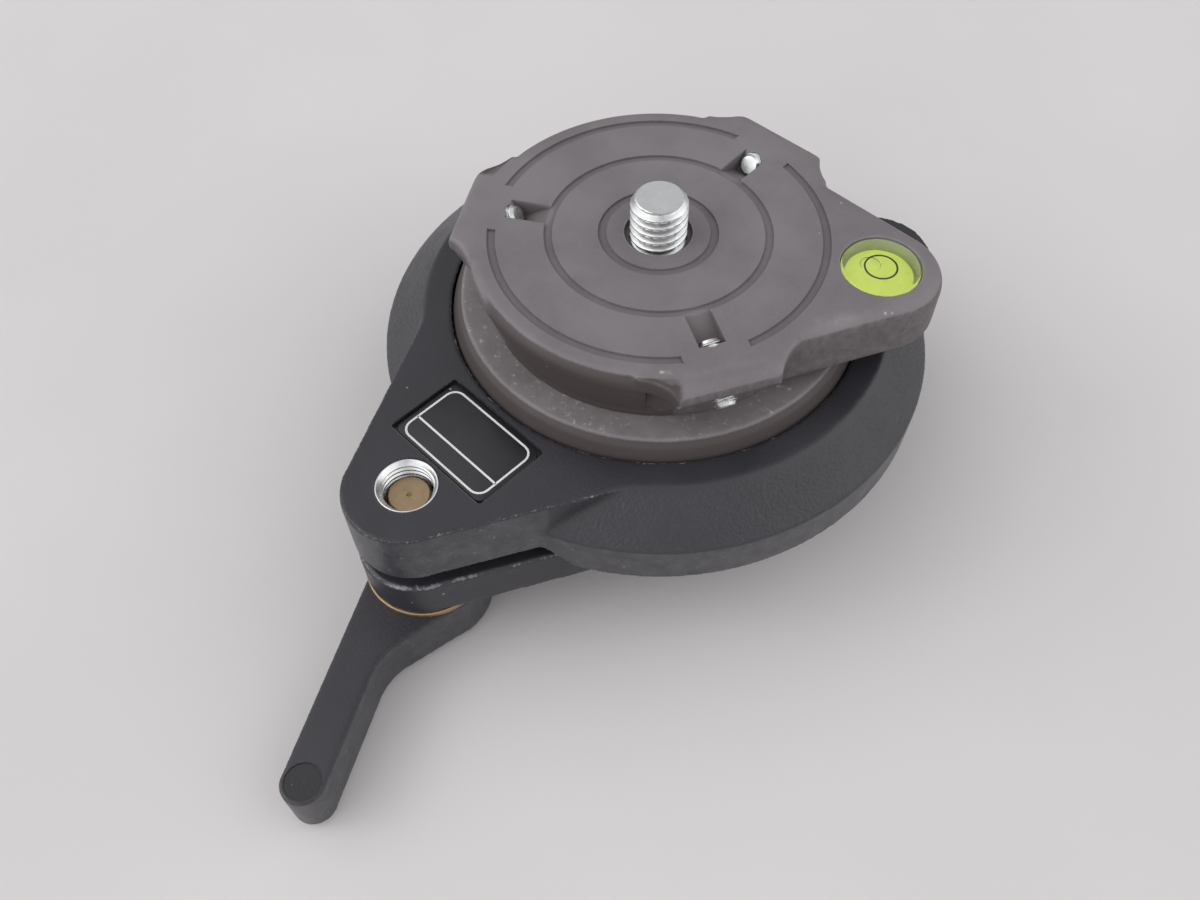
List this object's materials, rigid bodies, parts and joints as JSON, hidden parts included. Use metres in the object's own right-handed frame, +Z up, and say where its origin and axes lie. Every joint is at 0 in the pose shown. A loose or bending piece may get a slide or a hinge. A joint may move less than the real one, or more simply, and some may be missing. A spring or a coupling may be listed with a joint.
{
  "type": "ball leveling head",
  "caption": "Tripod leveling head: a plate with a threaded stud and a spirit level tilts and pans on a ball held between a bowl and a clamp ring with a lever.",
  "frame": {"origin": "on the main axis, in the plane of the foot's mounting face, at the mouth of the threaded bush", "axes": "+Z up along the main axis and the stud, -Y towards the clamp ear, +X to the right of the ear"},
  "size_m": [0.097, 0.151, 0.0588],
  "materials": {
    "black_coat": "black powder coat on cast alloy, edges rubbed",
    "taupe_paint": "warm grey satin paint on turned alloy",
    "bright_steel": "zinc plated",
    "dark_steel": "black oxide",
    "dull_brass": "dull turned brass",
    "label_black": "satin",
    "liner_fibre": "pressed fibre",
    "liner_nylon": "moulded nylon",
    "backing_white": "matt",
    "clear_acrylic": "clear acrylic",
    "level_liquid": "tinted liquid",
    "bubble_air": "clear",
    "ring_ink": "matt print"
  },
  "bodies": {
    "base": {"base_bowl": "black_coat", "mount_bush": "bright_steel", "clamp_ring": "black_coat", "heel_screws": "dark_steel", "jaw_insert": "bright_steel", "name_plate": "label_black"},
    "lever": {"clamp_lever": "black_coat", "clamp_bolt": "dull_brass", "clamp_washer": "dull_brass", "lever_screw": "dark_steel"},
    "outer_liner": {"outer_liner": "liner_fibre"},
    "inner_liner": {"inner_liner": "liner_nylon"},
    "ball": {"leveling_ball": "taupe_paint", "top_plate": "taupe_paint", "plate_screws": "dark_steel", "top_stud": "bright_steel", "stud_washer": "dark_steel", "vial_backing": "backing_white", "vial_body": "clear_acrylic", "vial_liquid": "level_liquid", "vial_bubble": "bubble_air", "vial_ring": "ring_ink"},
    "set_screw_1": {"set_screw_1": "bright_steel"},
    "set_screw_2": {"set_screw_2": "bright_steel"},
    "set_screw_3": {"set_screw_3": "bright_steel"}
  },
  "joints": [
    {"name": "tilt_x", "type": "hinge", "parent": "base", "child": "outer_liner", "pos_m": [0, 0, 0.024], "axis": [1, 0, 0], "range_deg": [-5, 5]},
    {"name": "tilt_y", "type": "hinge", "parent": "outer_liner", "child": "inner_liner", "pos_m": [0, 0, 0.024], "axis": [0, 1, 0], "range_deg": [-5, 5]},
    {"name": "pan", "type": "hinge", "parent": "inner_liner", "child": "ball", "pos_m": [0, 0, 0.024], "axis": [0, 0, 1], "continuous": true},
    {"name": "lever_turn", "type": "hinge", "parent": "base", "child": "lever", "pos_m": [0, -0.0565, 0.0066], "axis": [0, 0, 1], "range_deg": [-85, 35]},
    {"name": "set_screw_1_feed", "type": "slide", "parent": "ball", "child": "set_screw_1", "axis": [0.0302, -0.8655, 0.5], "range_m": [-0.002, 0.002]},
    {"name": "set_screw_2_feed", "type": "slide", "parent": "ball", "child": "set_screw_2", "axis": [0.7344, 0.4589, 0.5], "range_m": [-0.002, 0.002]},
    {"name": "set_screw_3_feed", "type": "slide", "parent": "ball", "child": "set_screw_3", "axis": [-0.7647, 0.4066, 0.5], "range_m": [-0.002, 0.002]}
  ]
}
